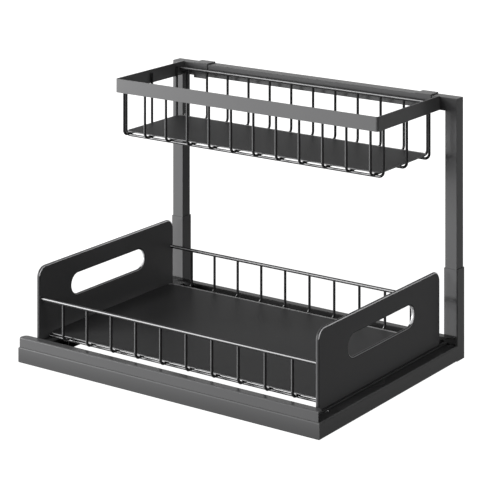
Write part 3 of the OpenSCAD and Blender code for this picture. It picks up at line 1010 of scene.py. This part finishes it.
class ORGANIZER_OT_lower_basket(bpy.types.Operator):
    """Model the lower basket: side panels, wires and tray"""

    bl_idname = "organizer.lower_basket"
    bl_label = "Lower basket"

    def execute(self, context):
        body = "lower_basket"
        side_panel("left")
        side_panel("right")
        tray_sheet("lower_tray", body)
        long_wires = [f"lower_{place}_long_wire" for place in ("front", "middle", "rear")]
        rim_wires = ["lower_front_rim_wire", "lower_rear_rim_wire"]
        for node in long_wires + rim_wires:
            straight_wire(node, body, welded=True)
        front, rear = [middle_of(node) for node in rim_wires]
        crossings = [middle_of(node).y for node in long_wires]
        cross_wires(
            "lower_cross_wires", body, LOWER_WIRES, (front.z, rear.z), front.y, rear.y, crossings,
        )
        return {"FINISHED"}


class ORGANIZER_OT_upper_basket(bpy.types.Operator):
    """Model the upper basket: band, wires and tray"""

    bl_idname = "organizer.upper_basket"
    bl_label = "Upper basket"

    def execute(self, context):
        body = "upper_basket"
        dressed("upper_band", body, "band_paint", sizes().tube_edge)
        tray_sheet("upper_tray", body)
        long_wires = [f"upper_{place}_long_wire" for place in ("front", "middle", "rear")]
        for node in long_wires:
            turned_up_wire(node, body)
        straight_wire("upper_rim_wire", body, welded=False)
        rim = middle_of("upper_rim_wire")
        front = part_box("upper_cross_wires")[0].y + wire_radius()
        front_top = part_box("upper_front_long_wire")[1].z
        crossings = [middle_of(node).y for node in long_wires]
        cross_wires(
            "upper_cross_wires", body, UPPER_WIRES, (front_top, rim.z), front, rim.y, crossings,
        )
        return {"FINISHED"}


# Height of a hook's top, whose cut sides keep the plain colour without a painted highlight
HOOK_TOP = 3 * MM
# Painted highlight on the cut sides of a hook's front leaf
HOOK_SIDE_HIGHLIGHT = 1.0


def hook_piece(side):
    """A hook with rounded cut edges, and with a painted highlight on the cut sides of its front leaf."""
    node = side + "_hook"
    middle, top = middle_of(node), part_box(node)[1].z
    bm = cad_mesh(node)
    round_edges(bm, sharp_edges(bm), sizes().tube_edge)
    layer = light_shade_layer(bm)
    bm.normal_update()
    for face in bm.faces:
        centre = face.calc_center_median()
        if abs(face.normal.x) > LOOKS and centre.y < middle.y and centre.z < top - HOOK_TOP:
            face[layer] = HOOK_SIDE_HIGHLIGHT
    place_piece(bm, node + "_dressed", "upper_basket", "frame_paint", node)


class ORGANIZER_OT_hooks(bpy.types.Operator):
    """Dress the hooks that hang the upper basket on the arch"""

    bl_idname = "organizer.hooks"
    bl_label = "Hooks"

    def execute(self, context):
        for side in ("left", "right"):
            hook_piece(side)
        return {"FINISHED"}


# Stage

# The place and size of each lamp, all of which face one point
LAMPS = {
    "key": ((-1.65, -1.45, 0.35), (0.6, 0.5)),
    "upper": ((-1.25, -1.65, 0.95), (0.8, 0.5)),
    "front": ((-0.05, -2.1, 0.6), (0.25, 0.25)),
    "right": ((2.1, -0.3, 0.95), (0.6, 0.6)),
    "rear": ((0.1, 1.75, 1.45), (0.5, 0.5)),
}
LAMP_TARGET = Vector((0, 0, 0.12))
# Half the width of the floor, the ring over which its shadow fades, and how white it is within
FLOOR_HALF = 6.0
FADE_START, FADE_END = 0.3, 1.1
NEAR_WHITE = 0.86
# The floor's paper under light, and the glow that makes it white to the eye
PAPER = (0.85, 0.85, 0.85, 1)
FLOOR_GLOW = 1.25
WHITE = (1, 1, 1, 1)


def paint_world(ambient):
    """White surroundings: full white to the eye and in reflections, dimmer as light."""
    world = bpy.data.worlds.new("surroundings")
    bpy.context.scene.world = world
    graph = Graph(world)
    strength = graph.seen() * (1.0 - ambient) + ambient
    shade = graph.add("ShaderNodeBackground", {}, {"Color": WHITE, "Strength": strength})[0]
    graph.end(shade, "ShaderNodeOutputWorld")


def floor_material():
    """A pale floor that reads as white and keeps a soft shadow."""
    material = bpy.data.materials.new("pale_floor")
    graph = Graph(material)
    reach = graph.add("ShaderNodeVectorMath", {"operation": "LENGTH"}, {0: graph.where()})[1]
    white = graph.seen() * graph.smooth_rise(reach, FADE_START, FADE_END, low=NEAR_WHITE)
    paper = graph.add("ShaderNodeBsdfDiffuse", {}, {"Color": PAPER})[0]
    glow = graph.add("ShaderNodeEmission", {}, {"Color": WHITE, "Strength": FLOOR_GLOW})[0]
    graph.end(graph.add("ShaderNodeMixShader", {}, {0: white, 1: paper, 2: glow})[0])
    return material


def make_floor():
    """The floor under the organizer, which takes no part in the object."""
    bm = bmesh.new()
    bmesh.ops.create_grid(bm, x_segments=1, y_segments=1, size=FLOOR_HALF)
    mesh = bpy.data.meshes.new("floor")
    bm.to_mesh(mesh)
    bm.free()
    mesh.materials.append(floor_material())
    floor = bpy.data.objects.new("floor", mesh)
    bpy.context.scene.collection.objects.link(floor)
    floor.location.z = CAD_BOX[0].z
    floor.visible_diffuse = False


def area_light(name, place, size, power):
    """A soft lamp that faces the organizer."""
    data = bpy.data.lights.new(name, "AREA")
    data.shape = "RECTANGLE"
    data.size, data.size_y = size
    data.energy = power
    lamp = bpy.data.objects.new(name, data)
    lamp.location = place
    lamp.rotation_euler = (LAMP_TARGET - Vector(place)).to_track_quat("-Z", "Y").to_euler()
    bpy.context.scene.collection.objects.link(lamp)


def make_camera(stage):
    """A camera that looks level, with its film raised as a view camera's, so uprights stay upright."""
    sin, cos = math.sin(stage.azimuth), math.cos(stage.azimuth)
    right = Vector((cos, sin, 0))
    back = Vector((sin, -cos, stage.rise))
    data = bpy.data.cameras.new("camera")
    data.sensor_width = stage.film
    data.lens = stage.lens * back.length
    camera = bpy.data.objects.new("camera", data)
    bpy.context.scene.collection.objects.link(camera)
    rail = bpy.data.objects.new("camera_rail", None)
    bpy.context.scene.collection.objects.link(rail)
    camera.parent = rail
    back.normalize()
    columns = Matrix((right, Vector((0, 0, 1)), back)).transposed().to_4x4()
    camera.matrix_parent_inverse = Matrix.Translation(stage.place) @ columns
    bpy.context.scene.camera = camera


class ORGANIZER_OT_stage(bpy.types.Operator):
    """Set up the camera, the lamps, the floor and the white surroundings"""

    bl_idname = "organizer.stage"
    bl_label = "Stage"

    def execute(self, context):
        stage = context.scene.organizer_stage
        context.scene.view_settings.view_transform = "Standard"
        make_camera(stage)
        paint_world(stage.ambient)
        for name, (place, size) in LAMPS.items():
            area_light(name, place, size, getattr(stage, name + "_power"))
        make_floor()
        return {"FINISHED"}


class ORGANIZER_PT_panel(bpy.types.Panel):
    """Buttons that make the organizer, piece by piece"""

    bl_idname = "ORGANIZER_PT_panel"
    bl_label = "Under Sink Organizer"
    bl_space_type = "VIEW_3D"
    bl_region_type = "UI"
    bl_category = "Organizer"

    def draw(self, context):
        for step in STEPS:
            self.layout.operator(step.bl_idname)


SETTINGS = {
    "organizer_sizes": OrganizerSizes,
    "organizer_colours": OrganizerColours,
    "organizer_stage": OrganizerStage,
}
STEPS = (
    ORGANIZER_OT_stage,
    ORGANIZER_OT_floor_frame,
    ORGANIZER_OT_arch,
    ORGANIZER_OT_carriage,
    ORGANIZER_OT_rollers,
    ORGANIZER_OT_lower_basket,
    ORGANIZER_OT_upper_basket,
    ORGANIZER_OT_hooks,
)


def register():
    """Registers the classes and hangs the settings on the scene."""
    for name, group in SETTINGS.items():
        bpy.utils.register_class(group)
        setattr(bpy.types.Scene, name, PointerProperty(type=group))
    for cls in (*STEPS, ORGANIZER_PT_panel):
        bpy.utils.register_class(cls)


def unregister():
    """Undoes register."""
    for cls in (ORGANIZER_PT_panel, *reversed(STEPS)):
        bpy.utils.unregister_class(cls)
    for name, group in reversed(SETTINGS.items()):
        delattr(bpy.types.Scene, name)
        bpy.utils.unregister_class(group)


def main():
    """Makes the whole scene."""
    register()
    for step in STEPS:
        group, name = step.bl_idname.split(".")
        getattr(getattr(bpy.ops, group), name)()


if __name__ == "__main__":
    main()
